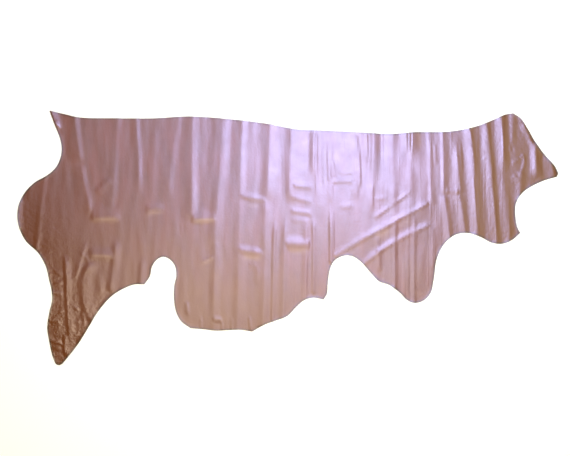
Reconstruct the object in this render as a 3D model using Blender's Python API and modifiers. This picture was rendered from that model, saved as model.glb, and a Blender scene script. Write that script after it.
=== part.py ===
"""Leather side: half of a tanned cow hide, laid out grain side up on a flat surface.

The hide is one piece of leather. Its back line is the long edge at +Y, the butt and hind
shank are at -X, and the neck and cheek are at +X. The outline is a closed run of smooth
stretches that meet at corners. Soft folds left by rolling the hide rise from the surface
as low ridges, and the leather lies flat between them.

Units are metres, +Z is up, and the origin is on the surface under the middle of the hide.
"""

from collections import namedtuple

import bpy
import numpy as np
from mathutils import Vector
from mathutils.geometry import delaunay_2d_cdt

# Driving sizes
SIDE_LENGTH = 2.420
LEATHER_THICKNESS = 0.0014
BLEND = 3
CREST_SHARPNESS = 0.5

# Spacing of the mesh: close across the folds and wide along them
EDGE_STEP = 0.017
ROW_STEP = 0.033
COLUMN_STEP = 0.028
EDGE_CLEARANCE = 0.008
SMALLEST_GAP = 0.008
FLANK_REACH = 0.5
MERGE_DISTANCE = 1e-6

MM = 0.001
DRAWN_LENGTH = 2417 * MM
GROWTH = SIDE_LENGTH / DRAWN_LENGTH

# The outline in millimetres, clockwise from the tail. Each stretch is smooth, and the next
# one starts with a corner at its last point.
Point = namedtuple("Point", "x y")
OUTLINE = {
    "back line": [
        Point(-1004, 555), Point(-932, 539), Point(-776, 535), Point(-596, 535),
        Point(-439, 543), Point(-251, 530), Point(-90, 510), Point(36, 486),
        Point(143, 481), Point(300, 474), Point(448, 465), Point(569, 473),
        Point(726, 476), Point(843, 499), Point(932, 534), Point(973, 552),
        Point(1006, 557),
    ],
    "neck end": [
        Point(1040, 535), Point(1071, 489), Point(1113, 418), Point(1156, 362),
        Point(1194, 319), Point(1209, 289),
    ],
    "cheek tip": [Point(1202, 274)],
    "throat": [
        Point(1143, 256), Point(1087, 230), Point(1043, 197), Point(1020, 157),
        Point(1016, 108), Point(1025, 49), Point(1038, 23),
    ],
    "brisket and fore shank": [
        Point(1007, -5), Point(962, -25), Point(912, -21), Point(861, 5),
        Point(802, 23), Point(745, 13), Point(696, -30), Point(665, -94),
        Point(652, -184), Point(637, -246), Point(605, -280), Point(566, -290),
        Point(533, -277), Point(500, -244), Point(451, -209), Point(409, -194),
        Point(370, -155), Point(326, -106), Point(287, -81), Point(247, -80),
        Point(206, -103), Point(187, -143), Point(178, -206), Point(174, -249),
        Point(159, -275),
    ],
    "elbow": [
        Point(117, -267), Point(76, -276), Point(36, -309), Point(-1, -347),
        Point(-57, -370), Point(-104, -387), Point(-159, -418),
    ],
    "belly": [Point(-215, -410), Point(-318, -414), Point(-386, -407), Point(-435, -403)],
    "flank": [
        Point(-476, -373), Point(-500, -329), Point(-509, -273), Point(-508, -215),
        Point(-499, -170), Point(-505, -125), Point(-530, -94), Point(-558, -84),
        Point(-586, -97), Point(-608, -128), Point(-617, -170), Point(-642, -207),
    ],
    "thigh": [
        Point(-681, -207), Point(-720, -219), Point(-786, -258), Point(-849, -329),
        Point(-885, -388), Point(-934, -468), Point(-978, -526), Point(-1008, -562),
    ],
    "hind shank end": [Point(-1024, -569), Point(-1039, -562)],
    "butt": [
        Point(-1055, -519), Point(-1067, -462), Point(-1076, -403), Point(-1067, -335),
        Point(-1054, -277), Point(-1056, -237), Point(-1066, -193), Point(-1082, -127),
        Point(-1115, -68), Point(-1170, -15), Point(-1197, 36), Point(-1208, 94),
        Point(-1201, 152), Point(-1174, 206), Point(-1129, 250), Point(-1076, 280),
        Point(-1034, 320), Point(-1012, 381), Point(-1016, 435), Point(-1036, 491),
        Point(-1065, 569),
    ],
}

# One row for each fold, in millimetres. The crest runs from x0, y0 to x1, y1 and bows to its
# left by bow at mid length. The ridge falls to nothing over the width on each side, and over
# fade0 and fade1 at the two ends. Seen along the crest, left of a fold that runs down the
# hide from its back line is towards the neck.
Fold = namedtuple("Fold", "x0 y0 x1 y1 bow left right height fade0 fade1")
DOWN_FOLDS = [
    # butt
    Fold(-1066, 590, -1026, 478, 0, 32, 20, 6.0, 30, 40),
    Fold(-959, 575, -926, 322, 0, 26, 60, 2.6, 0, 50),
    Fold(-932, 350, -878, 85, 0, 26, 60, 1.8, 50, 60),
    Fold(-760, 545, -790, 95, 0, 28, 60, 1.3, 0, 60),
    Fold(-681, 550, -668, 140, 5, 24, 36, 1.8, 0, 200),
    Fold(-489, 550, -538, 145, -7, 30, 60, 1.0, 0, 90),
    Fold(-1085, 300, -1126, -60, 0, 22, 24, 1.2, 20, 20),
    Fold(-1212, 215, -1212, 0, 0, 34, 20, 4.2, 60, 60),
    # hind shank
    Fold(-998, -70, -976, -470, 0, 32, 14, 2.4, 50, 60),
    Fold(-898, -10, -956, -200, 0, 14, 26, 1.7, 40, 40),
    Fold(-872, -95, -876, -375, -46, 52, 30, 3.7, 50, 10),
    Fold(-766, 0, -796, -240, 0, 34, 26, 2.0, 50, 10),
    Fold(-652, -85, -660, -215, 0, 30, 24, 1.5, 50, 10),
    # loin and belly
    Fold(-427, 555, -432, 65, 0, 36, 60, 2.3, 0, 50),
    Fold(-291, 545, -330, -60, 0, 46, 62, 1.8, 0, 80),
    Fold(-322, 40, -334, -420, 0, 36, 30, 1.6, 80, 0),
    Fold(-204, 540, -216, 140, 0, 30, 54, 2.1, 0, 90),
    Fold(-216, 200, -227, -420, 0, 44, 34, 1.5, 80, 0),
    Fold(-80, 530, -92, 140, 0, 52, 46, 2.5, 0, 90),
    Fold(-98, 200, -110, -400, 0, 40, 44, 2.0, 80, 0),
    Fold(18, 510, 8, 140, 0, 75, 42, 2.8, 0, 80),
    Fold(-12, 110, -22, -370, 0, 24, 26, 2.0, 110, 0),
    Fold(-57, 80, -68, -380, 0, 14, 16, 1.8, 60, 0),
    Fold(120, 495, 114, 250, 0, 24, 30, 2.0, 0, 110),
    Fold(84, 100, 78, -290, 0, 16, 30, 1.6, 60, 0),
    # ribs
    Fold(191, 440, 190, 130, 0, 22, 22, 1.2, 60, 60),
    Fold(188, 200, 192, -115, 0, 24, 14, 2.3, 180, 0),
    Fold(305, 470, 309, 160, 0, 16, 50, 1.2, 30, 60),
    Fold(341, 480, 347, 300, 0, 26, 24, 1.8, 0, 80),
    Fold(379, 480, 379, 170, 0, 44, 26, 3.2, 0, 220),
    Fold(468, 480, 476, 60, 0, 30, 46, 1.8, 0, 110),
    Fold(529, 480, 532, 360, 0, 20, 30, 1.6, 0, 60),
    Fold(553, 480, 551, 320, 0, 56, 18, 4.0, 0, 120),
    Fold(551, 330, 554, 80, 0, 24, 50, 1.2, 60, 60),
    Fold(629, 485, 642, 140, 0, 26, 16, 1.2, 0, 30),
    # fore shank
    Fold(480, 110, 474, -250, 0, 20, 24, 1.9, 80, 0),
    Fold(566, 110, 560, -310, 0, 18, 18, 1.2, 60, 0),
    Fold(645, 80, 650, -130, 0, 20, 20, 1.0, 60, 0),
    # neck
    Fold(690, 485, 696, 185, 0, 32, 14, 2.0, 0, 30),
    Fold(698, 200, 728, -40, 0, 24, 30, 2.3, 30, 0),
    Fold(745, 480, 772, 200, 0, 26, 34, 2.4, 140, 10),
    Fold(762, 215, 800, -10, 0, 26, 34, 2.1, 30, 0),
    Fold(808, 510, 846, -10, 5, 40, 38, 3.0, 0, 0),
    Fold(884, 530, 935, -40, 0, 28, 36, 2.5, 0, 0),
    Fold(952, 560, 968, 250, 0, 34, 36, 3.3, 0, 120),
    Fold(962, 330, 990, -40, 0, 34, 34, 2.0, 120, 0),
    Fold(1006, 575, 1002, 400, 0, 26, 18, 1.2, 0, 60),
    Fold(1044, 305, 1034, 160, 0, 26, 32, 2.4, 20, 10),
    Fold(1104, 450, 1112, 262, 0, 34, 34, 4.2, 30, 20),
    Fold(1165, 372, 1195, 262, 0, 20, 50, 2.8, 20, 20),
]
CROSS_FOLDS = [
    # short wrinkles across the hide, between the folds that run down it
    Fold(-890, 90, -742, 90, 0, 80, 26, 2.7, 24, 40),
    Fold(-440, 84, -304, 84, 0, 60, 26, 2.6, 20, 30),
    Fold(-226, 194, -84, 166, 0, 26, 26, 1.7, 24, 24),
    Fold(-230, -50, -100, -70, 0, 30, 34, 2.3, 20, 20),
    Fold(-18, -24, 104, -28, 0, 42, 42, 3.0, 14, 16),
    Fold(-896, -74, -762, -84, 0, 44, 26, 2.6, 30, 30),
    # long creases that climb from the fore flank towards the neck
    Fold(380, 85, 558, 214, 0, 16, 11, 1.0, 20, 20),
    Fold(210, -85, 643, 161, 7, 28, 10, 1.4, 0, 30),
    Fold(339, -121, 647, 60, 17, 26, 10, 1.2, 0, 30),
]


def smooth_stretch(points, step):
    """Points every step or so along a centripetal Catmull-Rom curve through the given ones."""
    p = np.array(points, float)
    p = np.vstack([2 * p[0] - p[1], p, 2 * p[-1] - p[-2]])
    knots = np.concatenate([[0], np.cumsum(np.linalg.norm(np.diff(p, axis=0), axis=1) ** 0.5)])
    pieces = []
    for i in range(1, len(p) - 2):
        count = max(1, round(np.linalg.norm(p[i + 1] - p[i]) / step))
        t = np.linspace(knots[i], knots[i + 1], count, endpoint=False)[:, None]
        t0, t1, t2, t3 = knots[i - 1 : i + 3]
        a = ((t1 - t) * p[i - 1] + (t - t0) * p[i]) / (t1 - t0)
        b = ((t2 - t) * p[i] + (t - t1) * p[i + 1]) / (t2 - t1)
        c = ((t3 - t) * p[i + 1] + (t - t2) * p[i + 2]) / (t3 - t2)
        ab = ((t2 - t) * a + (t - t0) * b) / (t2 - t0)
        bc = ((t3 - t) * b + (t - t1) * c) / (t3 - t1)
        pieces.append(((t2 - t) * ab + (t - t1) * bc) / (t2 - t1))
    return np.vstack(pieces)


def hide_outline(step):
    """The closed outline as points in metres, centred on its own bounding box."""
    corner = list(OUTLINE.values())[-1][-1]
    stretches = []
    for points in OUTLINE.values():
        stretches.append(smooth_stretch(np.array([corner, *points]) * MM * GROWTH, step))
        corner = points[-1]
    outline = np.vstack(stretches)
    return outline - (outline.min(axis=0) + outline.max(axis=0)) / 2


def distance_to_outline(points, outline):
    """Each point's distance to the outline, and whether it is inside."""
    start = outline[None]
    end = np.roll(outline, -1, axis=0)[None]
    p = points[:, None]
    along = end - start
    share = ((p - start) * along).sum(2) / (along**2).sum(2)
    nearest = start + np.clip(share, 0, 1)[..., None] * along
    distance = np.linalg.norm(p - nearest, axis=2).min(axis=1)
    straddles = (start[..., 1] > p[..., 1]) != (end[..., 1] > p[..., 1])
    rise = np.where(along[..., 1] == 0, 1, along[..., 1])
    crossing = start[..., 0] + (p[..., 1] - start[..., 1]) * along[..., 0] / rise
    inside = (straddles & (p[..., 0] < crossing)).sum(axis=1) % 2 == 1
    return distance, inside


def fold_line(fold, share, offset):
    """Points beside a fold's crest, offset to its left, at the given shares of its length."""
    start = np.array([fold.x0, fold.y0])
    run = np.array([fold.x1, fold.y1]) - start
    left = np.array([-run[1], run[0]]) / np.linalg.norm(run)
    aside = offset + fold.bow * 4 * share * (1 - share)
    return (start + share[:, None] * run + aside[:, None] * left) * MM * GROWTH


def shares_between(start, end, stations):
    """Where the stations fall between a start and an end, as shares of the way."""
    share = (stations / (MM * GROWTH) - start) / (end - start)
    return share[(share >= 0) & (share <= 1)]


def inner_points(outline):
    """Points along every fold's crest, flanks and feet, and a wide grid between them."""
    low, high = outline.min(axis=0), outline.max(axis=0)
    rows = np.arange(low[1], high[1], ROW_STEP)
    columns = np.arange(low[0], high[0], COLUMN_STEP)
    candidates = []
    for reach in (0, FLANK_REACH, 1):
        for fold in DOWN_FOLDS + CROSS_FOLDS:
            if fold in DOWN_FOLDS:
                share = shares_between(fold.y0, fold.y1, rows)
            else:
                share = shares_between(fold.x0, fold.x1, columns)
            for offset in sorted({reach * fold.left, -reach * fold.right}):
                candidates.append(fold_line(fold, share, offset))
    candidates.append(np.stack(np.meshgrid(columns, rows), axis=-1).reshape(-1, 2))
    candidates = np.vstack(candidates)
    distance, inside = distance_to_outline(candidates, outline)
    candidates = candidates[inside & (distance > EDGE_CLEARANCE)]
    kept = np.full_like(candidates, np.inf)
    for i, point in enumerate(candidates):
        if np.linalg.norm(kept[:i] - point, axis=1).min(initial=np.inf) > SMALLEST_GAP:
            kept[i] = point
    return kept[np.isfinite(kept[:, 0])]


def rounded(share):
    """1 at a share of 0, falling as half a cosine wave to 0 at a share of 1 and beyond."""
    return 0.5 + 0.5 * np.cos(np.pi * np.clip(share, 0, 1))


def flank(share):
    """A ridge's side: the rounded wave, blended with a quarter sine wave that has a crest."""
    creased = 1 - np.sin(np.pi / 2 * np.clip(share, 0, 1))
    return rounded(share) + CREST_SHARPNESS * (creased - rounded(share))


def faded_end(distance, length):
    """0 at a fold's end, rising to 1 over its fade length."""
    return 1 - rounded(distance / length) if length else (distance > 0).astype(float)


def fold_height(points):
    """Height of the leather's underside over the surface.

    It is the sum of the folds' own heights, each taken to the power BLEND, and then that
    power's root, so that folds that cross run into one another and don't pile up.
    """
    blended = np.zeros(len(points))
    for fold in DOWN_FOLDS + CROSS_FOLDS:
        start = np.array([fold.x0, fold.y0]) * MM * GROWTH
        run = np.array([fold.x1, fold.y1]) * MM * GROWTH - start
        length = np.linalg.norm(run)
        along = (points - start) @ run / length
        share = np.clip(along / length, 0, 1)
        offset = (points - start) @ np.array([-run[1], run[0]]) / length
        offset = offset - fold.bow * MM * 4 * share * (1 - share)
        width = np.where(offset > 0, fold.left, fold.right) * MM
        ends = faded_end(along, fold.fade0 * MM) * faded_end(length - along, fold.fade1 * MM)
        height = fold.height * MM * flank(np.abs(offset) / width) * ends
        blended += height**BLEND
    return blended ** (1 / BLEND)


def pearl_leather():
    """The grain side's finish: rose brown leather under a satin pearl coat."""
    material = bpy.data.materials.new("pearl_leather")
    material.use_nodes = True
    shader = material.node_tree.nodes["Principled BSDF"]
    shader.inputs["Base Color"].default_value = (0.42, 0.24, 0.25, 1)
    shader.inputs["Roughness"].default_value = 0.36
    shader.inputs["Metallic"].default_value = 0.35
    return material


def leather_side(collection):
    """The hide: its underside as a folded sheet, thickened upwards."""
    outline = hide_outline(EDGE_STEP)
    points = np.vstack([outline, inner_points(outline)])
    ring = list(range(len(outline)))
    edges = list(zip(ring, ring[1:] + ring[:1]))
    inside_of_ring = 1
    flat, _, faces, *_ = delaunay_2d_cdt(
        [Vector(p) for p in points.tolist()], edges, [], inside_of_ring, MERGE_DISTANCE
    )
    flat = np.array([tuple(p) for p in flat])
    underside = np.column_stack([flat, fold_height(flat)])

    mesh = bpy.data.meshes.new("leather_side")
    mesh.from_pydata(underside.tolist(), [], faces)
    mesh.shade_smooth()
    mesh.materials.append(pearl_leather())
    side = bpy.data.objects.new("leather_side", mesh)
    collection.objects.link(side)
    if mesh.polygons[0].normal.z < 0:
        mesh.flip_normals()

    thickness = side.modifiers.new("thickness", "SOLIDIFY")
    thickness.thickness = LEATHER_THICKNESS
    thickness.offset = 1
    thickness.use_even_offset = True
    return side


def main():
    for old in list(bpy.data.objects):
        bpy.data.objects.remove(old)
    collection = bpy.data.collections.new("leather side")
    bpy.context.scene.collection.children.link(collection)
    leather_side(collection)


main()
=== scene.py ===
"""Leather side: half of a tanned cow hide with a pearl finish, laid grain side up on a floor.

The hide is one closed sheet, 1.4 mm thick. Its plan is the part's own outline and its long
soft folds are the solid's. Finer creases, an uneven lie and a wavy cut edge are added to
them, and a lighter tan is painted along some of the wrinkles as a highlight. Lengths in the
tables are millimetres and all others are metres.
"""

import logging
from dataclasses import dataclass
from enum import Enum
from typing import NamedTuple

import bpy
import numpy as np
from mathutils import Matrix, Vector
from mathutils.geometry import delaunay_2d_cdt


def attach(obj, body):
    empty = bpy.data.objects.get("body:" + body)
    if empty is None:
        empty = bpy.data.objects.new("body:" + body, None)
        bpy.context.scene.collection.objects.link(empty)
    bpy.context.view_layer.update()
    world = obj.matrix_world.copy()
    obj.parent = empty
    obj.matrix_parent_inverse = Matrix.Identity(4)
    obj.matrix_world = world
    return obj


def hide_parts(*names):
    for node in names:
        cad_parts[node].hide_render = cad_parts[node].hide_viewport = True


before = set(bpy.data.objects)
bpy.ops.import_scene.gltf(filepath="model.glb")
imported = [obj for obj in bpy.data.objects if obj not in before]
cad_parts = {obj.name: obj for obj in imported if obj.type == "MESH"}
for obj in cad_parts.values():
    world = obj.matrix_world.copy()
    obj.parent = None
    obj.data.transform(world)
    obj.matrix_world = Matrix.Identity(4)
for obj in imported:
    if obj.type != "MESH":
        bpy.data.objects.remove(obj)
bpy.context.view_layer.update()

LOG = logging.getLogger("leather_side")
MM = 0.001
HALF_TURN = np.pi

Array = np.ndarray
Socket = bpy.types.NodeSocket
Colour = tuple[float, float, float]
Direction = tuple[float, float, float]
Span = tuple[float, float]

EVEN: Direction = (1, 1, 1)
HIND_SHANKWARD: Direction = (-0.8, -0.6, 0)
NECKWARD: Direction = (1, 0, 0)


class Knot(NamedTuple):
    """A point of the outline, in millimetres."""

    x: float
    y: float


class Crease(NamedTuple):
    """A soft ridge, or a trough where its height is negative, in millimetres.

    The crest runs from x0, y0 to x1, y1 and bows to its left by bow at mid length. It falls
    to nothing over left and right at its sides, and over fade0 and fade1 at its ends. An end
    without a fade stops short, most often past the outline.
    """

    x0: float
    y0: float
    x1: float
    y1: float
    bow: float
    left: float
    right: float
    height: float
    fade0: float
    fade1: float


# The outline, clockwise from the tail. Each stretch is smooth, and the next one starts with
# a corner at its last knot.
HIDE_EDGE: dict[str, tuple[Knot, ...]] = {
    "back line": (
        Knot(-1004, 555), Knot(-932, 539), Knot(-776, 535), Knot(-596, 535),
        Knot(-439, 543), Knot(-251, 530), Knot(-90, 510), Knot(36, 486),
        Knot(143, 481), Knot(300, 474), Knot(448, 465), Knot(569, 473),
        Knot(726, 476), Knot(843, 499), Knot(932, 534), Knot(973, 552),
        Knot(1006, 557),
    ),
    "neck end": (
        Knot(1040, 535), Knot(1071, 489), Knot(1113, 418), Knot(1156, 362),
        Knot(1194, 319), Knot(1209, 289),
    ),
    "cheek tip": (Knot(1202, 274),),
    "throat": (
        Knot(1143, 256), Knot(1087, 230), Knot(1043, 197), Knot(1020, 157),
        Knot(1016, 108), Knot(1025, 49), Knot(1038, 23),
    ),
    "brisket and fore shank": (
        Knot(1007, -5), Knot(962, -25), Knot(912, -21), Knot(861, 5),
        Knot(802, 23), Knot(745, 13), Knot(696, -30), Knot(665, -94),
        Knot(652, -184), Knot(637, -246), Knot(605, -280), Knot(566, -290),
        Knot(533, -277), Knot(500, -244), Knot(451, -209), Knot(409, -194),
        Knot(370, -155), Knot(326, -106), Knot(287, -81), Knot(247, -80),
        Knot(206, -103), Knot(187, -143), Knot(178, -206), Knot(174, -249),
        Knot(159, -275),
    ),
    "elbow": (
        Knot(117, -267), Knot(76, -276), Knot(36, -309), Knot(-1, -347),
        Knot(-57, -370), Knot(-104, -387), Knot(-159, -418),
    ),
    "belly": (Knot(-215, -410), Knot(-318, -414), Knot(-386, -407), Knot(-435, -403)),
    "flank": (
        Knot(-476, -373), Knot(-500, -329), Knot(-509, -273), Knot(-508, -215),
        Knot(-499, -170), Knot(-505, -125), Knot(-530, -94), Knot(-558, -84),
        Knot(-586, -97), Knot(-608, -128), Knot(-617, -170), Knot(-642, -207),
    ),
    "thigh": (
        Knot(-681, -207), Knot(-720, -219), Knot(-786, -258), Knot(-849, -329),
        Knot(-885, -388), Knot(-934, -468), Knot(-978, -526), Knot(-1008, -562),
    ),
    "hind shank end": (Knot(-1024, -569), Knot(-1039, -562)),
    "butt": (
        Knot(-1055, -519), Knot(-1067, -462), Knot(-1076, -403), Knot(-1067, -335),
        Knot(-1054, -277), Knot(-1056, -237), Knot(-1066, -193), Knot(-1082, -127),
        Knot(-1115, -68), Knot(-1170, -15), Knot(-1197, 36), Knot(-1208, 94),
        Knot(-1201, 152), Knot(-1174, 206), Knot(-1129, 250), Knot(-1076, 280),
        Knot(-1034, 320), Knot(-1012, 381), Knot(-1016, 435), Knot(-1036, 491),
        Knot(-1065, 569),
    ),
}

# The long folds that the solid has too
MAIN_FOLDS: tuple[Crease, ...] = (
    # butt
    Crease(-1066, 590, -1026, 478, 0, 32, 20, 6.0, 30, 40),
    Crease(-959, 575, -926, 322, 0, 26, 60, 2.6, 0, 50),
    Crease(-932, 350, -878, 85, 0, 26, 60, 1.8, 50, 60),
    Crease(-760, 545, -790, 95, 0, 28, 60, 1.3, 0, 60),
    Crease(-681, 550, -668, 140, 5, 24, 36, 1.8, 0, 200),
    Crease(-489, 550, -538, 145, -7, 30, 60, 1.0, 0, 90),
    Crease(-1085, 300, -1126, -60, 0, 22, 24, 1.2, 20, 20),
    Crease(-1212, 215, -1212, 0, 0, 34, 20, 4.2, 60, 60),
    # hind shank
    Crease(-998, -70, -976, -470, 0, 32, 14, 2.4, 50, 60),
    Crease(-898, -10, -956, -200, 0, 14, 26, 1.7, 40, 40),
    Crease(-872, -95, -876, -375, -46, 52, 30, 3.7, 50, 10),
    Crease(-766, 0, -796, -240, 0, 34, 26, 2.0, 50, 10),
    Crease(-652, -85, -660, -215, 0, 30, 24, 1.5, 50, 10),
    # loin and belly
    Crease(-427, 555, -432, 65, 0, 36, 60, 2.3, 0, 50),
    Crease(-291, 545, -330, -60, 0, 46, 62, 1.8, 0, 80),
    Crease(-322, 40, -334, -420, 0, 36, 30, 1.6, 80, 0),
    Crease(-204, 540, -216, 140, 0, 30, 54, 2.1, 0, 90),
    Crease(-216, 200, -227, -420, 0, 44, 34, 1.5, 80, 0),
    Crease(-80, 530, -92, 140, 0, 52, 46, 2.5, 0, 90),
    Crease(-98, 200, -110, -400, 0, 40, 44, 2.0, 80, 0),
    Crease(18, 510, 8, 140, 0, 75, 42, 2.8, 0, 80),
    Crease(-12, 110, -22, -370, 0, 24, 26, 2.0, 110, 0),
    Crease(-57, 80, -68, -380, 0, 14, 16, 1.8, 60, 0),
    Crease(120, 495, 114, 250, 0, 24, 30, 2.0, 0, 110),
    Crease(84, 100, 78, -290, 0, 16, 30, 1.6, 60, 0),
    # ribs
    Crease(191, 440, 190, 130, 0, 22, 22, 1.2, 60, 60),
    Crease(188, 200, 192, -115, 0, 24, 14, 2.3, 180, 0),
    Crease(305, 470, 309, 160, 0, 16, 50, 1.2, 30, 60),
    Crease(341, 480, 347, 300, 0, 26, 24, 1.8, 0, 80),
    Crease(379, 480, 379, 170, 0, 44, 26, 3.2, 0, 220),
    Crease(468, 480, 476, 60, 0, 30, 46, 1.8, 0, 110),
    Crease(529, 480, 532, 360, 0, 20, 30, 1.6, 0, 60),
    Crease(553, 480, 551, 320, 0, 56, 18, 4.0, 0, 120),
    Crease(551, 330, 554, 80, 0, 24, 50, 1.2, 60, 60),
    Crease(629, 485, 642, 140, 0, 26, 16, 1.2, 0, 30),
    # fore shank
    Crease(480, 110, 474, -250, 0, 20, 24, 1.9, 80, 0),
    Crease(566, 110, 560, -310, 0, 18, 18, 1.2, 60, 0),
    Crease(645, 80, 650, -130, 0, 20, 20, 1.0, 60, 0),
    # neck
    Crease(690, 485, 696, 185, 0, 32, 14, 2.0, 0, 30),
    Crease(698, 200, 728, -40, 0, 24, 30, 2.3, 30, 0),
    Crease(745, 480, 772, 200, 0, 26, 34, 2.4, 140, 10),
    Crease(762, 215, 800, -10, 0, 26, 34, 2.1, 30, 0),
    Crease(808, 510, 846, -10, 5, 40, 38, 3.0, 0, 0),
    Crease(884, 530, 935, -40, 0, 28, 36, 2.5, 0, 0),
    Crease(952, 560, 968, 250, 0, 34, 36, 3.3, 0, 120),
    Crease(962, 330, 990, -40, 0, 34, 34, 2.0, 120, 0),
    Crease(1006, 575, 1002, 400, 0, 26, 18, 1.2, 0, 60),
    Crease(1044, 305, 1034, 160, 0, 26, 32, 2.4, 20, 10),
    Crease(1104, 450, 1112, 262, 0, 34, 34, 4.2, 30, 20),
    Crease(1165, 372, 1195, 262, 0, 20, 50, 2.8, 20, 20),
    # short wrinkles across the hide, between the folds that run down it
    Crease(-890, 90, -742, 90, 0, 80, 26, 2.7, 24, 40),
    Crease(-440, 84, -304, 84, 0, 60, 26, 2.6, 20, 30),
    Crease(-226, 194, -84, 166, 0, 26, 26, 1.7, 24, 24),
    Crease(-230, -50, -100, -70, 0, 30, 34, 2.3, 20, 20),
    Crease(-18, -24, 104, -28, 0, 42, 42, 3.0, 14, 16),
    Crease(-896, -74, -762, -84, 0, 44, 26, 2.6, 30, 30),
    # long creases that climb from the fore flank towards the neck
    Crease(380, 85, 558, 214, 0, 16, 11, 1.0, 20, 20),
    Crease(210, -85, 643, 161, 7, 28, 10, 1.4, 0, 30),
    Crease(339, -121, 647, 60, 17, 26, 10, 1.2, 0, 30),
)

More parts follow.
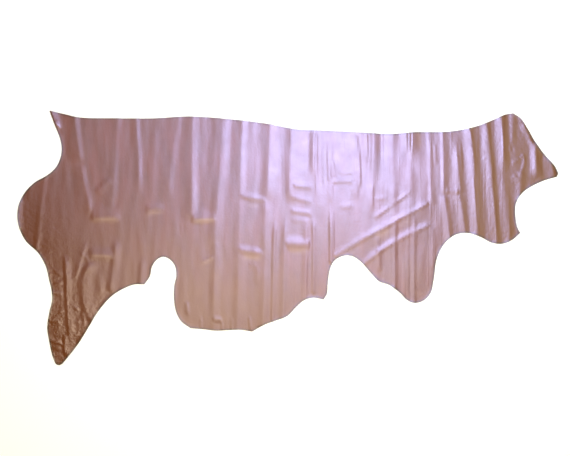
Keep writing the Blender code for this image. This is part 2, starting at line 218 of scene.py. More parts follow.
# Finer creases, which only the leather's own surface has
FINE_CREASES: tuple[Crease, ...] = (
    # butt and thigh
    Crease(-1040, 520, -1018, 488, 0, 12, 16, 1.8, 8, 8),
    Crease(-866, 196, -786, 268, 0, 26, 34, 1.6, 30, 30),
    Crease(-644, 118, -544, 136, 5, 34, 22, 1.6, 30, 40),
    Crease(-932, -56, -886, -110, 0, 12, 14, 0.8, 16, 16),
    Crease(-918, -330, -908, -392, 0, 12, 12, 0.9, 16, 10),
    Crease(-820, 500, -812, 300, 0, 20, 26, 0.5, 60, 60),
    Crease(-590, 520, -600, 250, 0, 26, 30, 0.5, 60, 60),
    Crease(-1056, -243, -1004, -250, 0, 9, 13, 1.8, 4, 14),
    Crease(-1070, -368, -1014, -384, 4, 10, 11, 1.5, 4, 16),
    Crease(-1064, -455, -1002, -476, 0, 10, 11, 1.6, 4, 14),
    Crease(-1052, -486, -1006, -500, 0, 9, 9, 1.0, 4, 12),
    Crease(-1000, -420, -998, -530, 0, 34, 11, 1.9, 30, 20),
    Crease(-1050, -150, -1002, -168, 3, 10, 14, 1.2, 8, 14),
    Crease(-1046, -206, -1004, -196, -3, 10, 12, 1.1, 6, 12),
    Crease(-1030, -330, -1000, -322, 0, 10, 12, 1.0, 10, 10),
    Crease(-976, -300, -930, -330, 4, 14, 12, 1.2, 16, 16),
    Crease(-960, -380, -926, -372, 0, 10, 12, 1.1, 12, 12),
    Crease(-958, -436, -930, -424, 0, 9, 12, 1.2, 10, 8),
    Crease(-872, -115, -876, -375, -46, 52, 30, -1.7, 60, 10),
    Crease(-985, -200, -977, -460, 0, 32, 14, -1.2, 60, 40),
    Crease(-900, -20, -954, -195, 0, 14, 26, -0.6, 40, 40),
    Crease(-846, -150, -836, -270, 4, 24, 28, 0.9, 50, 40),
    # belly
    Crease(-216, 170, -222, -50, 0, 44, 34, -0.8, 50, 30),
    Crease(-208, 330, -213, 170, 0, 30, 54, -0.7, 80, 60),
    Crease(-106, -120, -111, -390, 0, 38, 42, 0.9, 60, 0),
    Crease(-223, -110, -226, -400, 0, 42, 32, 0.6, 60, 0),
    Crease(-328, -100, -334, -400, 0, 34, 26, 0.5, 60, 0),
    Crease(-393, -112, -326, -82, 0, 12, 14, 1.1, 20, 20),
    Crease(-66, 60, -74, -360, 0, 9, 9, 0.7, 60, 0),
    Crease(-142, -105, -150, -215, 8, 20, 24, 0.8, 40, 40),
    Crease(-178, -130, -140, -112, 4, 12, 16, 0.8, 14, 14),
    Crease(-340, -366, -290, -368, 0, 22, 11, 1.9, 16, 14),
    Crease(-388, -352, -389, -400, 0, 9, 12, 1.2, 12, 0),
    Crease(-294, -372, -296, -410, 0, 10, 10, 1.2, 12, 0),
    Crease(-250, -350, -252, -410, 0, 12, 12, 1.0, 20, 0),
    Crease(-172, -345, -168, -414, 0, 10, 10, 1.6, 20, 0),
    Crease(-452, -280, -448, -344, 0, 14, 22, 1.6, 20, 10),
    Crease(114, 100, 113, -250, 0, 20, 12, 1.5, 60, 0),
    # ribs
    Crease(16, 238, 112, 228, 0, 18, 20, 1.8, 20, 20),
    Crease(4, 188, 112, 160, 0, 20, 18, 1.1, 20, 20),
    Crease(4, 124, 112, 108, 0, 20, 18, 1.2, 20, 20),
    Crease(8, 84, 104, 78, 0, 14, 22, 0.6, 20, 20),
    Crease(129, 470, 129, 180, 0, 10, 10, 0.6, 20, 60),
    Crease(161, 470, 161, 200, 0, 10, 10, 0.45, 20, 60),
    Crease(194, 252, 290, 255, 4, 14, 18, 1.7, 16, 12),
    Crease(224, 290, 292, 294, 0, 12, 11, 1.1, 16, 12),
    Crease(218, 136, 302, 143, 3, 16, 18, 0.9, 34, 30),
    Crease(116, 480, 112, 270, 0, 10, 28, 1.2, 20, 60),
    Crease(320, 420, 324, 220, 0, 9, 16, 1.0, 40, 30),
    Crease(200, 350, 212, 262, 0, 10, 10, 1.0, 20, 20),
    Crease(176, 430, 186, 246, 0, 14, 14, 0.9, 60, 20),
    Crease(352, 470, 360, 330, 0, 10, 12, 1.1, 10, 60),
    Crease(316, 393, 320, 214, 0, 9, 9, 0.8, 30, 30),
    Crease(377, 250, 377, 110, 0, 12, 20, 1.0, 40, 40),
    Crease(384, 172, 446, 180, 0, 12, 10, 1.2, 20, 20),
    Crease(384, 482, 384, 340, 0, 32, 9, 1.0, 0, 80),
    Crease(555, 484, 553, 366, 0, 50, 18, 1.2, 0, 60),
    # fore shank
    Crease(210, -85, 643, 161, 7, 70, 74, 1.3, 200, 60),
    Crease(327, -12, 643, 161, 4, 18, 74, 1.0, 60, 40),
    Crease(339, -121, 647, 60, 17, 34, 74, 1.4, 60, 60),
    Crease(396, 20, 410, -150, 0, 18, 22, 1.0, 40, 10),
    Crease(456, 0, 458, -210, 0, 12, 16, 0.7, 40, 10),
    Crease(380, 86, 558, 215, 0, 15, 11, 0.6, 24, 24),
    Crease(398, 16, 512, 96, 0, 16, 8, 0.9, 24, 24),
    Crease(394, -68, 486, -12, 0, 16, 8, 0.9, 20, 24),
    Crease(470, 470, 475, 90, 0, 30, 46, -0.6, 60, 60),
    Crease(551, 320, 554, 90, 0, 24, 50, -0.4, 50, 50),
    # neck
    Crease(656, 430, 660, 320, 0, 14, 12, 0.7, 30, 30),
    Crease(702, 206, 766, 199, 3, 34, 11, 1.4, 8, 10),
    Crease(770, 440, 778, 290, 0, 9, 10, 0.7, 40, 40),
    Crease(812, 500, 838, 250, 4, 12, 9, 0.8, 40, 60),
    Crease(828, 290, 850, 20, -3, 10, 10, 0.7, 60, 20),
    Crease(890, 520, 918, 200, 3, 12, 9, 0.8, 60, 80),
    Crease(914, 250, 938, -20, 0, 10, 10, 0.7, 60, 20),
    Crease(957, 540, 966, 330, 0, 9, 9, 0.8, 60, 60),
    Crease(984, 220, 992, -10, 0, 10, 9, 0.7, 60, 20),
    Crease(1046, 522, 1098, 412, 0, 12, 28, 2.2, 24, 24),
    Crease(1104, 456, 1106, 396, 0, 34, 34, -2.2, 10, 44),
    Crease(1110, 316, 1112, 258, 0, 34, 34, -1.8, 44, 10),
    Crease(1000, 398, 1052, 396, 0, 10, 16, 0.8, 12, 14),
    Crease(1008, 290, 1040, 256, -4, 12, 30, 1.2, 14, 10),
    Crease(990, 412, 998, 386, 0, 8, 10, 1.0, 8, 8),
    Crease(1000, 333, 1050, 364, 0, 9, 11, 1.1, 8, 8),
    Crease(1050, 380, 1036, 286, 14, 10, 16, 1.3, 12, 12),
)

# Lines along wrinkles where a lighter tan is painted as a highlight: a height of 1 paints it in
# full
PAINTED_HIGHLIGHT_LINES: tuple[Crease, ...] = (
    Crease(-900, 74, -752, 84, 5, 15, 17, 0.8, 90, 50),
    Crease(-656, 94, -540, 116, 6, 14, 16, 0.5, 60, 40),
    Crease(-436, 72, -312, 81, 5, 15, 18, 0.9, 50, 34),
    Crease(-912, -86, -766, -88, 8, 14, 18, 0.6, 60, 60),
    Crease(-394, -124, -324, -86, 5, 13, 18, 0.5, 34, 24),
    Crease(-216, -82, -108, -90, 0, 20, 26, 0.6, 30, 30),
    Crease(-188, 148, -122, 142, 0, 16, 18, 0.4, 20, 20),
    Crease(-4, -52, 98, -56, 0, 20, 30, 0.6, 20, 20),
    Crease(382, -2, 466, 44, 0, 26, 28, 0.7, 24, 30),
    Crease(486, 50, 556, 84, 0, 18, 20, 0.4, 24, 30),
    Crease(470, -130, 620, -150, 0, 110, 110, 0.15, 60, 60),
    Crease(584, 480, 592, 380, 0, 20, 20, 0.5, 0, 50),
    Crease(556, -236, 604, -262, 0, 20, 22, 0.5, 20, 20),
)


class Side(Enum):
    """The surfaces of the leather, valued by their material index."""

    GRAIN = 0
    FLESH = 1
    EDGE = 2


class Noise(NamedTuple):
    """Soft noise: patches to the metre, octaves of finer noise on it, and each axis's factor."""

    per_metre: float
    octaves: float
    factors: Direction = EVEN


class Patches(NamedTuple):
    """Noise of which a span of values is spread from least to most."""

    noise: Noise
    span: Span
    least: float = 0
    most: float = 1


class Zone(NamedTuple):
    """A part of the hide that sets in over a span of metres along a direction."""

    direction: Direction
    span: Span


class NodeBench:
    """One material's node tree, with short calls for the nodes that the finishes share."""

    def __init__(self, name: str) -> None:
        """Makes the material, with object coordinates at hand.

        Args:
            name: The material's name.
        """
        self.material = bpy.data.materials.new(name)
        self.material.use_nodes = True
        self.nodes = self.material.node_tree.nodes
        self.shader = self.nodes["Principled BSDF"]
        self.place = self.nodes.new("ShaderNodeTexCoord").outputs["Object"]

    def link(self, source: Socket, target: Socket) -> None:
        """Links one socket to another."""
        self.material.node_tree.links.new(source, target)

    def spread(self, value: Socket, span: Span, low: float = 0, high: float = 1) -> Socket:
        """Maps a value's span to low and high, and clamps it there.

        Args:
            value: The value to map.
            span: The values that give low and high.
            low: The result at the span's start.
            high: The result at its end.

        Returns:
            The mapped value.
        """
        node = self.nodes.new("ShaderNodeMapRange")
        node.inputs["From Min"].default_value = span[0]
        node.inputs["From Max"].default_value = span[1]
        node.inputs["To Min"].default_value = low
        node.inputs["To Max"].default_value = high
        self.link(value, node.inputs["Value"])
        return node.outputs["Result"]

    def noise(self, noise: Noise) -> Socket:
        """Soft noise from 0 to 1, on object coordinates times the noise's factors.

        Args:
            noise: Its settings; a large factor packs it closer along that axis.

        Returns:
            The noise's value.
        """
        where = self.place
        if noise.factors != EVEN:
            mapping = self.nodes.new("ShaderNodeMapping")
            mapping.inputs["Scale"].default_value = noise.factors
            self.link(where, mapping.inputs["Vector"])
            where = mapping.outputs["Vector"]
        node = self.nodes.new("ShaderNodeTexNoise")
        node.inputs["Scale"].default_value = noise.per_metre
        node.inputs["Detail"].default_value = noise.octaves
        self.link(where, node.inputs["Vector"])
        return node.outputs["Fac"]

    def patches(self, patches: Patches) -> Socket:
        """Noise, spread over its range."""
        noise = self.noise(patches.noise)
        return self.spread(noise, patches.span, patches.least, patches.most)

    def pebbles(self, scale: float) -> Socket:
        """Rounded cells, 0 in their middles and higher at their borders.

        Args:
            scale: Cells to the metre.

        Returns:
            The distance to the nearest cell's middle.
        """
        node = self.nodes.new("ShaderNodeTexVoronoi")
        node.feature = "SMOOTH_F1"
        node.inputs["Scale"].default_value = scale
        self.link(self.place, node.inputs["Vector"])
        return node.outputs["Distance"]

    def zone(self, zone: Zone, low: float = 0, high: float = 1) -> Socket:
        """A value that changes where the zone sets in.

        Args:
            zone: The zone.
            low: The value outside it.
            high: The value in it.

        Returns:
            The value.
        """
        node = self.nodes.new("ShaderNodeVectorMath")
        node.operation = "DOT_PRODUCT"
        node.inputs[1].default_value = zone.direction
        self.link(self.place, node.inputs[0])
        return self.spread(node.outputs["Value"], zone.span, low, high)

    def product(self, first: Socket, second: Socket) -> Socket:
        """Multiplies two values.

        Args:
            first: One value.
            second: The other.

        Returns:
            Their product.
        """
        node = self.nodes.new("ShaderNodeMath")
        node.operation = "MULTIPLY"
        self.link(first, node.inputs[0])
        self.link(second, node.inputs[1])
        return node.outputs["Value"]

    def attribute(self, name: str) -> Socket:
        """The value of one of the mesh's own attributes.

        Args:
            name: The attribute's name.

        Returns:
            Its value.
        """
        node = self.nodes.new("ShaderNodeAttribute")
        node.attribute_name = name
        return node.outputs["Fac"]

    def blend(self, share: Socket, first: Colour | Socket, second: Colour | Socket) -> Socket:
        """Mixes two colours.

        Args:
            share: 0 for the first colour and 1 for the second.
            first: A colour, or the socket that gives it.
            second: The other colour.

        Returns:
            The mixed colour.
        """
        node = self.nodes.new("ShaderNodeMix")
        node.data_type = "RGBA"
        factor, _, _, _, _, _, a, b, *_ = node.inputs
        self.link(share, factor)
        for colour, target in ((first, a), (second, b)):
            if isinstance(colour, Socket):
                self.link(colour, target)
            else:
                target.default_value = (*colour, 1)
        return node.outputs["Result"]

    def relief(self, height: Socket, depth: float, under: Socket | None = None) -> Socket:
        """Raises the shading by a height map.

        Args:
            height: The height map, from 0 to 1.
            depth: What a height of 1 stands for, in metres.
            under: Normals that another relief gives.

        Returns:
            The new normals.
        """
        node = self.nodes.new("ShaderNodeBump")
        node.inputs["Distance"].default_value = depth
        self.link(height, node.inputs["Height"])
        if under is not None:
            self.link(under, node.inputs["Normal"])
        return node.outputs["Normal"]


@dataclass(frozen=True)
class PearlGrain:
    """Smooth grain side: rose brown dyes under a lilac pearl coat."""

    brown: Colour = (0.146, 0.051, 0.020)
    russet: Colour = (0.129, 0.041, 0.015)
    clouds: Patches = Patches(Noise(2.2, 3), (0.35, 0.65))
    rubbed: Colour = (0.195, 0.092, 0.052)
    mottle: Patches = Patches(Noise(38, 5), (0.3, 0.7), 0, 0.22)
    rosy: Colour = (0.190, 0.056, 0.026)
    streaks: Patches = Patches(Noise(17, 3, (1, 0.3, 1)), (0.4, 0.65), 0, 0.5)
    fawn: Colour = (0.138, 0.045, 0.009)
    belly: Zone = Zone((-0.35, -0.94, 0), (0.10, 0.42))
    umber: Colour = (0.120, 0.032, 0.001)
    shank: Zone = Zone(HIND_SHANKWARD, (0.60, 0.94))
    tan: Colour = (0.145, 0.050, 0.002)
    neck: Zone = Zone(NECKWARD, (0.50, 0.85))
    # a lighter tan, painted along the wrinkle lines as a highlight
    highlight_tan: Colour = (0.250, 0.135, 0.085)
    # a dark brown, painted along the cut edge as its shadow
    edge_shadow_brown: Colour = (0.045, 0.022, 0.001)
    edge_shadow_span: Span = (0.4, 0.8)
    edge_shadow_strength: float = 0.9
    off_back_line: Zone = Zone((0, -1, 0), (-0.50, -0.42))
    back_line_share: float = 0.5
    satin: Patches = Patches(Noise(15, 4), (0.3, 0.7), 0.35, 0.40)
    polished: Zone = Zone(HIND_SHANKWARD, (0.74, 1.04))
    polish: float = 0.73
    stretch_marks: Noise = Noise(34, 4, (1, 0.14, 1))
    stretch_depth: float = 0.0004
    pebbling: Noise = Noise(110, 3)
    pebble_depth: float = 0.0003
    shank_crumple: Noise = Noise(52, 3)
    crumpled: Zone = Zone(HIND_SHANKWARD, (0.6, 1.0))
    shank_depth: float = 0.0016
    neck_crumple: Noise = Noise(64, 3)
    neck_depth: float = 0.0007
    rib_lines: Patches = Patches(Noise(42, 2, (1, 0.05, 1)), (0.55, 0.66))
    ribs: Zone = Zone(NECKWARD, (-0.25, 0.2))
    rib_depth: float = 0.00022
    pores_per_metre: float = 620
    pore_depth: float = 0.00005
    pearl: Colour = (0.61, 0.58, 1.0)
    pearl_ior: float = 2.2

    def material(self) -> bpy.types.Material:
        """Clouds and streaks of dye, other dyes over some zones, a painted highlight along
        wrinkle lines, a painted shadow along the cut edge, and low reliefs.

        Returns:
            The finished material.
        """
        bench = NodeBench("pearl_grain")
        neck = bench.zone(self.neck)
        # where the painted edge shadow falls, from the rim attribute
        rim = bench.spread(bench.attribute("rim"), self.edge_shadow_span, 0, self.edge_shadow_strength)
        off_back_line = bench.zone(self.off_back_line, self.back_line_share)
        dye = self.brown
        for share, colour in (
            (bench.patches(self.clouds), self.russet),
            (bench.patches(self.mottle), self.rubbed),
            (bench.patches(self.streaks), self.rosy),
            (bench.zone(self.belly), self.fawn),
            (bench.zone(self.shank), self.umber),
            (neck, self.tan),
            # the painted highlight along the wrinkle lines
            (bench.attribute("painted_highlight"), self.highlight_tan),
            # the painted shadow along the cut edge, half as dark along the back line
            (bench.product(rim, off_back_line), self.edge_shadow_brown),
        ):
            dye = bench.blend(share, dye, colour)
        shank_crumple = bench.product(bench.noise(self.shank_crumple), bench.zone(self.crumpled))
        rib_lines = bench.product(bench.patches(self.rib_lines), bench.zone(self.ribs))
        normal = None
        for height, depth in (
            (bench.noise(self.stretch_marks), self.stretch_depth),
            (bench.noise(self.pebbling), self.pebble_depth),
            (shank_crumple, self.shank_depth),
            (bench.product(bench.noise(self.neck_crumple), neck), self.neck_depth),
            (rib_lines, self.rib_depth),
            (bench.pebbles(self.pores_per_metre), self.pore_depth),
        ):
            normal = bench.relief(height, depth, normal)
        polish = bench.zone(self.polished, 1, self.polish)
        roughness = bench.product(bench.patches(self.satin), polish)
        bench.link(dye, bench.shader.inputs["Base Color"])
        bench.link(normal, bench.shader.inputs["Normal"])
        bench.link(roughness, bench.shader.inputs["Roughness"])
        bench.shader.inputs["IOR"].default_value = self.pearl_ior
        bench.shader.inputs["Specular Tint"].default_value = (*self.pearl, 1)
        return bench.material


@dataclass(frozen=True)
class SuedeFlesh:
    """Flesh side: undyed split leather with a short nap."""

    tan: Colour = (0.46, 0.33, 0.25)
    fawn: Colour = (0.36, 0.24, 0.18)
    clouds: Patches = Patches(Noise(9, 6), (0.3, 0.7))
    nap: Noise = Noise(420, 5, (1, 0.35, 1))
    nap_depth: float = 0.0004
    roughness: float = 0.92
    sheen: float = 0.3

    def material(self) -> bpy.types.Material:
        """Cloudy tan with a fibrous nap.

        Returns:
            The finished material.
        """
        bench = NodeBench("suede_flesh")
        dye = bench.blend(bench.patches(self.clouds), self.tan, self.fawn)
        bench.link(dye, bench.shader.inputs["Base Color"])
        nap = bench.relief(bench.noise(self.nap), self.nap_depth)
        bench.link(nap, bench.shader.inputs["Normal"])
        bench.shader.inputs["Roughness"].default_value = self.roughness
        bench.shader.inputs["Sheen Weight"].default_value = self.sheen
        return bench.material


@dataclass(frozen=True)
class RawEdge:
    """The cut edge: pale fibres with dyed flecks."""

    fibre: Colour = (0.42, 0.31, 0.26)
    dyed: Colour = (0.26, 0.15, 0.13)
    flecks: Patches = Patches(Noise(260, 4), (0.4, 0.6))
    fray: Noise = Noise(900, 3)
    fray_depth: float = 0.0003
    roughness: float = 0.85

    def material(self) -> bpy.types.Material:
        """Flecked and slightly frayed.

        Returns:
            The finished material.
        """
        bench = NodeBench("raw_edge")
        dye = bench.blend(bench.patches(self.flecks), self.fibre, self.dyed)
        bench.link(dye, bench.shader.inputs["Base Color"])
        fray = bench.relief(bench.noise(self.fray), self.fray_depth)
        bench.link(fray, bench.shader.inputs["Normal"])
        bench.shader.inputs["Roughness"].default_value = self.roughness
        return bench.material


@dataclass(frozen=True)
class HideOutline:
    """The hide's plan, from the knots of its edge."""

    length: float = 2.420
    drawn_length: float = 2.417

    def growth(self) -> float:
        """Metres for each millimetre of the tables."""
        return MM * self.length / self.drawn_length

    def stretch(self, knots: Array, step: float) -> Array:
        """A smooth curve through the knots of one stretch.

        It is a centripetal Catmull-Rom curve: between two knots, three lines through pairs of
        neighbouring knots are blended twice over the square root of the knots' distances.

        Args:
            knots: The knots as complex numbers, in metres.
            step: The rough distance between the curve's points.

        Returns:
            The curve's points without the last knot.
        """
        p = np.concatenate([[2 * knots[0] - knots[1]], knots, [2 * knots[-1] - knots[-2]]])
        when = np.concatenate([[0], np.cumsum(np.sqrt(np.abs(np.diff(p))))])
        runs = []
        for i in range(1, len(p) - 2):
            count = max(1, round(abs(p[i + 1] - p[i]) / step))
            t = np.linspace(when[i], when[i + 1], count, endpoint=False)
            t0, t1, t2, t3 = when[i - 1 : i + 3]
            a = ((t1 - t) * p[i - 1] + (t - t0) * p[i]) / (t1 - t0)
            b = ((t2 - t) * p[i] + (t - t1) * p[i + 1]) / (t2 - t1)
            c = ((t3 - t) * p[i + 1] + (t - t2) * p[i + 2]) / (t3 - t2)
            ab = ((t2 - t) * a + (t - t0) * b) / (t2 - t0)
            bc = ((t3 - t) * b + (t - t1) * c) / (t3 - t1)
            runs.append(((t2 - t) * ab + (t - t1) * bc) / (t2 - t1))
        return np.concatenate(runs)

    def ring(self, step: float) -> Array:
        """The closed outline.

        Args:
            step: The rough distance between its points.

        Returns:
            Its points as complex numbers, centred on their own bounding box.
        """
        corner = HIDE_EDGE["butt"][-1]
        parts = []
        for knots in HIDE_EDGE.values():
            drawn = np.array([corner, *knots]) * self.growth()
            parts.append(self.stretch(drawn[:, 0] + 1j * drawn[:, 1], step))
            corner = knots[-1]
        ring = np.concatenate(parts)
        middle = (ring.real.min() + ring.real.max()) / 2
        return ring - middle - 0.5j * (ring.imag.min() + ring.imag.max())


@dataclass(frozen=True)
class FoldedLie:
    """How the leather lies: its height over the surface at each point of the plan.

    The edge's waves are in radians to the metre of outline.
    """

    growth: float
    merging: int = 3
    crest_sharpness: float = 0.5
    shortest_fade: float = 1
    swell: float = 0.00018
    swell_length: float = 0.075
    swell_closeness: Span = (0.5, 1.9)
    swell_lean: float = 0.22
    swell_count: int = 36
    swell_seed: int = 11
    edge_lift: float = 0.0006
    edge_band: float = 0.016
    edge_curl: float = 1.5
    edge_waves: tuple[float, float, float] = (47, 19, 9.3)
    edge_wave_shift: float = 1
    slow_wave_share: float = 0.6
    tallest_wave: float = 2

    def rounded(self, share: Array) -> Array:
        """Half a cosine wave, from 1 at a share of 0 to 0 at a share of 1 and beyond."""
        return 0.5 + 0.5 * np.cos(HALF_TURN * np.clip(share, 0, 1))

    def flank(self, share: Array) -> Array:
        """A ridge's side: the rounded wave, blended with a quarter sine wave that has a crest."""
        creased = 1 - np.sin(HALF_TURN / 2 * np.clip(share, 0, 1))
        return self.rounded(share) + self.crest_sharpness * (creased - self.rounded(share))

    def ridge(self, crease: Crease, plan: Array) -> Array:
        """One crease's own height.

        It is the crest's height times the flank's curve over the distance from the bowed
        crest line, times a rise and a fall over its two ends.

        Args:
            crease: The crease.
            plan: The points, as complex numbers.

        Returns:
            The height at each point.
        """
        start = complex(crease.x0, crease.y0) * self.growth
        run = complex(crease.x1, crease.y1) * self.growth - start
        length = abs(run)
        local = (plan - start) * np.conj(run) / length
        share = np.clip(local.real / length, 0, 1)
        aside = local.imag - crease.bow * MM * 4 * share * (1 - share)
        width = np.where(aside > 0, crease.left, crease.right) * MM
        rise = local.real / (max(crease.fade0, self.shortest_fade) * MM)
        fall = (length - local.real) / (max(crease.fade1, self.shortest_fade) * MM)
        ends = self.rounded(1 - rise) * self.rounded(1 - fall)
        return crease.height * MM * self.flank(np.abs(aside) / width) * ends

    def swells(self, plan: Array) -> Array:
        """A shallow unevenness, mostly of waves that run along the hide.

        It is a sum of cosine waves of random length, direction and phase, from a fixed seed.

        Args:
            plan: The points, as complex numbers.

        Returns:
            The height at each point, around 0.
        """
        dice = np.random.default_rng(self.swell_seed)
        closeness = dice.uniform(*self.swell_closeness, self.swell_count)
        waves = 2 * HALF_TURN / self.swell_length * closeness
        lean = dice.normal(0, self.swell_lean, self.swell_count)
        phase = dice.uniform(0, 2 * HALF_TURN, self.swell_count)
        total = np.zeros(len(plan))
        for wave, tilt, start in zip(waves, lean, phase):
            total += np.cos(wave * (plan * np.exp(1j * tilt)).real + start)
        return total * self.swell / np.sqrt(self.swell_count)

    def painted_highlight(self, plan: Array) -> Array:
        """How strongly the painted highlight along the wrinkle lines shows.

        Args:
            plan: The points, as complex numbers.

        Returns:
            The share at each point, from 0 to 1.
        """
        share = np.zeros(len(plan))
        for line in PAINTED_HIGHLIGHT_LINES:
            share += self.ridge(line, plan) / MM
        return np.clip(share, 0, 1)

    def height(self, plan: Array, rim: Array, run: Array) -> Array:
        """The underside's height.

        The main folds are raised to the power merging, summed, and the root taken, so that
        crossing folds run into one another. Fine creases and swells are added to them. Within
        the edge band, the cut edge lifts by waves along the outline: two quick ones multiplied
        and a slow one.

        Args:
            plan: The points, as complex numbers.
            rim: 1 at the cut edge, falling to 0 at the edge band's inner side.
            run: The length along the outline to the nearest point of it.

        Returns:
            The height at each point, never below 0.
        """
        merged = np.zeros(len(plan))
        for fold in MAIN_FOLDS:
            merged += self.ridge(fold, plan) ** self.merging
        height = merged ** (1 / self.merging)
        for crease in FINE_CREASES:
            height += self.ridge(crease, plan)
        quick, beat, slow = self.edge_waves
        wave = 1 + np.sin(run * quick) * np.cos(run * beat + self.edge_wave_shift)
        wave += self.slow_wave_share * np.sin(run * slow)
        height += self.swells(plan) + self.swell
        height += self.edge_lift * rim**self.edge_curl * np.clip(wave, 0, self.tallest_wave)
        return np.maximum(height, 0)


@dataclass
class LeatherSide:
    """The hide: one closed sheet with a grain face, a flesh face and a cut edge."""

    outline: HideOutline
    thickness: float = 0.0014
    edge_step: float = 0.006
    column_step: float = 0.0042
    row_step: float = 0.0096
    row_shear: float = 0.002
    edge_clearance: float = 0.0022
    merge_distance: float = 1e-6
    slope_step: float = 0.0005
    sharp_angle: float = HALF_TURN / 3
    batch: int = 3000

    def measure(self, plan: Array, ring: Array) -> tuple[Array, Array, Array]:
        """Distances from the outline.

        Each point is set against every edge of the ring: the nearest place on an edge is the
        point's projection on it, kept between the edge's ends. A point is inside if a line
        from it towards +X crosses the ring an odd number of times.

        Args:
            plan: The points, as complex numbers.
            ring: The closed outline.

        Returns:
            The distances, the lengths along the ring to the nearest edges, and the insides.
        """
        edge = np.roll(ring, -1) - ring
        before = np.concatenate([[0], np.cumsum(np.abs(edge))[:-1]])
        rise = np.where(edge.imag == 0, 1, edge.imag)
        low = np.minimum(ring.imag, ring.imag + edge.imag)
        high = np.maximum(ring.imag, ring.imag + edge.imag)
        distances, runs, insides = [], [], []
        for points in np.array_split(plan, len(plan) // self.batch + 1):
            gap = points[:, None] - ring
            share = np.clip((gap * np.conj(edge)).real / np.abs(edge) ** 2, 0, 1)
            away = np.abs(gap - share * edge)
            nearest = away.argmin(axis=1)
            rows = np.arange(len(points))
            distances.append(away[rows, nearest])
            runs.append(before[nearest] + share[rows, nearest] * np.abs(edge)[nearest])
            level = points.imag[:, None]
            beyond = gap.real < gap.imag * edge.real / rise
            crossed = (low <= level) & (level < high) & beyond
            insides.append(crossed.sum(axis=1) % 2 == 1)
        return np.concatenate(distances), np.concatenate(runs), np.concatenate(insides)

    def scatter(self, ring: Array) -> tuple[Array, Array, Array]:
        """The plan's points: the outline's, then those of a fine sheared grid inside it.

        Args:
            ring: The closed outline.

        Returns:
            The points, their distances from the outline, and the lengths along it to them.
        """
        xs = np.arange(ring.real.min(), ring.real.max(), self.column_step)
        ys = np.arange(ring.imag.min(), ring.imag.max(), self.row_step)
        sheared = self.row_shear * self.column_step * np.arange(len(ys))
        grid = (xs + sheared[:, None] + 1j * ys[:, None]).ravel()
        distance, run, inside = self.measure(grid, ring)
        kept = inside & (distance > self.edge_clearance)
        around = np.concatenate([[0], np.cumsum(np.abs(np.diff(ring)))])
        return (
            np.concatenate([ring, grid[kept]]),
            np.concatenate([np.zeros(len(ring)), distance[kept]]),
            np.concatenate([around, run[kept]]),
        )

    def triangles(self, plan: Array, rim_count: int) -> Array:
        """Joins the plan's points in triangles that face up.

        Args:
            plan: The points, the outline's first.
            rim_count: How many of them the outline has.

        Returns:
            Three indices for each triangle.

        Raises:
            RuntimeError: If two points lie so close that they were merged.
        """
        order = np.arange(rim_count)
        edges = np.column_stack([order, np.roll(order, -1)]).tolist()
        corners = [Vector(p) for p in np.column_stack([plan.real, plan.imag]).tolist()]
        inside_of_ring = 1
        flat, _, faces, *_ = delaunay_2d_cdt(
            corners, edges, [], inside_of_ring, self.merge_distance
        )
        if len(flat) != len(plan):
            raise RuntimeError("two points of the plan were merged")
        faces = np.array(faces)
        first, second, third = (plan[faces[:, i]] for i in range(3))
        turned = ((second - first) * np.conj(third - first)).imag > 0
        faces[turned] = faces[turned][:, ::-1]
        return faces

    def build(self) -> bpy.types.Object:
        """Makes the sheet.

        The underside has the lie's height over the plan, and the grain face stands over it by
        the thickness times the slope's own length, so that the leather is as thick on a fold
        as on the flat. A band of triangles closes the two along the cut edge.

        Returns:
            The finished object.
        """
        ring = self.outline.ring(self.edge_step)
        plan, distance, run = self.scatter(ring)
        faces = self.triangles(plan, len(ring))

        lie = FoldedLie(self.outline.growth())
        rim = np.clip(1 - distance / lie.edge_band, 0, 1)
        height = lie.height(plan, rim, run)
        slope_x = (lie.height(plan + self.slope_step, rim, run) - height) / self.slope_step
        slope_y = (lie.height(plan + 1j * self.slope_step, rim, run) - height) / self.slope_step
        top = height + self.thickness * np.sqrt(1 + slope_x**2 + slope_y**2)

        under = np.column_stack([plan.real, plan.imag, height])
        over = np.column_stack([plan.real, plan.imag, top])
        count = len(plan)
        near = np.arange(len(ring))
        far = np.roll(near, -1)
        lower = np.column_stack([far, near, near + count])
        upper = np.column_stack([far, near + count, far + count])
        points = np.vstack([under, over])
        mesh = bpy.data.meshes.new("hide")
        mesh.from_pydata(points, [], np.vstack([faces[:, ::-1], faces + count, lower, upper]))
        sides = [Side.FLESH.value] * len(faces) + [Side.GRAIN.value] * len(faces)
        sides += [Side.EDGE.value] * (len(lower) + len(upper))
        mesh.polygons.foreach_set("material_index", sides)
        # rim lifts the cut edge and also places the painted edge shadow; the other attribute
        # holds the painted wrinkle highlights
        for name, values in {"rim": rim, "painted_highlight": lie.painted_highlight(plan)}.items():
            attribute = mesh.attributes.new(name, "FLOAT", "POINT")
            attribute.data.foreach_set("value", np.tile(values, 2))
        mesh.shade_smooth()
        mesh.set_sharp_from_angle(angle=self.sharp_angle)
        return bpy.data.objects.new("hide", mesh)

    def place(self) -> bpy.types.Object:
        """Builds the hide, gives it its finishes, and sets it in the frame for the solid.

        Returns:
            The finished object.
        """
        hide = self.build()
        for finish in (PearlGrain(), SuedeFlesh(), RawEdge()):
            hide.data.materials.append(finish.material())
        bpy.context.scene.collection.objects.link(hide)
        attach(hide, "root")
        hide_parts("leather_side")
        return hide


@dataclass(frozen=True)
class Panel:
    """A soft rectangular light that faces straight down."""

    name: str
    x: float
    y: float
    size: Span
    colour: Colour
    radiance: float
    height: float = 3.0

    def hang(self) -> None:
        """Makes the light and hangs it over the floor."""
        light = bpy.data.lights.new(self.name, "AREA")
        light.shape = "RECTANGLE"
        light.size, light.size_y = self.size
        light.color = self.colour
        light.energy = self.radiance * HALF_TURN * self.size[0] * self.size[1]
        lamp = bpy.data.objects.new(self.name, light)
        lamp.location = (self.x, self.y, self.height)
        bpy.context.scene.collection.objects.link(lamp)


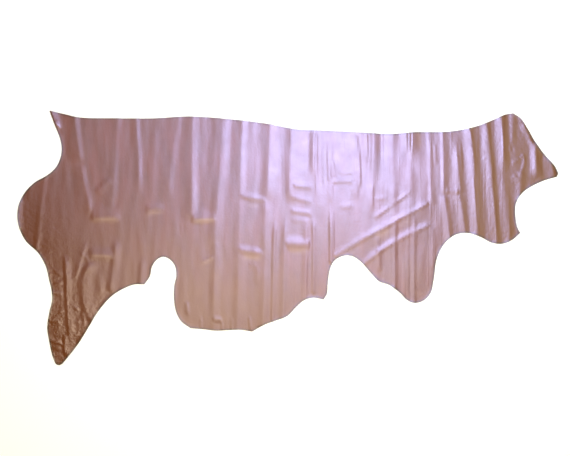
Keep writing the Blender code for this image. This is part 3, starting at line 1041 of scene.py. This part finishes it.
@dataclass(frozen=True)
class Studio:
    """A plain pale floor, soft panels overhead, and a camera straight above the hide."""

    panels: tuple[Panel, ...] = (
        Panel("cool_key", 0.42, 0.72, (1.38, 0.83), (0.91, 0.96, 1.0), 23.8),
        Panel("warm_fill", -0.14, -0.62, (2.84, 0.8), (1.0, 0.82, 0.35), 7.1),
        Panel("cool_fill", -1.22, 0.92, (1.25, 1.0), (1.0, 0.93, 0.72), 2.6),
        Panel("warm_side", 2.50, 0.40, (1.0, 1.6), (1.0, 0.91, 0.35), 2.8),
    )
    camera_at: Direction = (-0.0134, 0.0447, 3.545)
    lens: float = 50.0
    farthest: float = 100
    floor_size: float = 40.0
    floor_drop: float = 0.0004
    floor_white: Colour = (0.93, 0.95, 1.0)
    floor_roughness: float = 0.9
    walls: Colour = (1.0, 0.95, 0.93)
    walls_below: float = 0.20
    ceiling: Colour = (0.012, 0.008, 0.004)
    ceiling_above: float = 0.62
    room_strength: float = 2.0

    def floor(self) -> None:
        """A wide floor just under the hide."""
        half = self.floor_size / 2
        mesh = bpy.data.meshes.new("floor")
        corners = [(-half, -half), (half, -half), (half, half), (-half, half)]
        mesh.from_pydata([(x, y, -self.floor_drop) for x, y in corners], [], [(0, 1, 2, 3)])
        bench = NodeBench("pale_floor")
        bench.shader.inputs["Base Color"].default_value = (*self.floor_white, 1)
        bench.shader.inputs["Roughness"].default_value = self.floor_roughness
        bench.shader.inputs["Specular IOR Level"].default_value = 0
        mesh.materials.append(bench.material)
        floor = bpy.data.objects.new("floor", mesh)
        bpy.context.scene.collection.objects.link(floor)

    def surroundings(self) -> None:
        """Bright walls under a dim ceiling: the world's colour follows a direction's height."""
        world = bpy.data.worlds.new("studio")
        world.use_nodes = True
        nodes, links = world.node_tree.nodes, world.node_tree.links
        where = nodes.new("ShaderNodeTexCoord")
        split = nodes.new("ShaderNodeSeparateXYZ")
        ramp = nodes.new("ShaderNodeValToRGB")
        links.new(where.outputs["Generated"], split.inputs["Vector"])
        links.new(split.outputs["Z"], ramp.inputs["Fac"])
        links.new(ramp.outputs["Color"], nodes["Background"].inputs["Color"])
        nodes["Background"].inputs["Strength"].default_value = self.room_strength
        ramp.color_ramp.interpolation = "EASE"
        low, high = ramp.color_ramp.elements
        low.position, low.color = self.walls_below, (*self.walls, 1)
        high.position, high.color = self.ceiling_above, (*self.ceiling, 1)
        bpy.context.scene.world = world

    def camera(self) -> None:
        """The camera, looking straight down with the back line at the top."""
        data = bpy.data.cameras.new("camera")
        data.lens = self.lens
        data.clip_end = self.farthest
        camera = bpy.data.objects.new("camera", data)
        camera.location = self.camera_at
        bpy.context.scene.collection.objects.link(camera)
        bpy.context.scene.camera = camera

    def set_up(self) -> None:
        """Places the floor, the lights and the camera."""
        bpy.context.scene.view_settings.view_transform = "Standard"
        self.floor()
        self.surroundings()
        for panel in self.panels:
            panel.hang()
        self.camera()


def main() -> None:
    """Builds the hide and the studio."""
    logging.basicConfig(level=logging.INFO, format="%(name)s: %(message)s")
    hide = LeatherSide(HideOutline()).place()
    LOG.info("%s: %d faces", hide.name, len(hide.data.polygons))
    studio = Studio()
    studio.set_up()
    LOG.info("studio: floor, %d panels and camera", len(studio.panels))


if __name__ == "__main__":
    main()
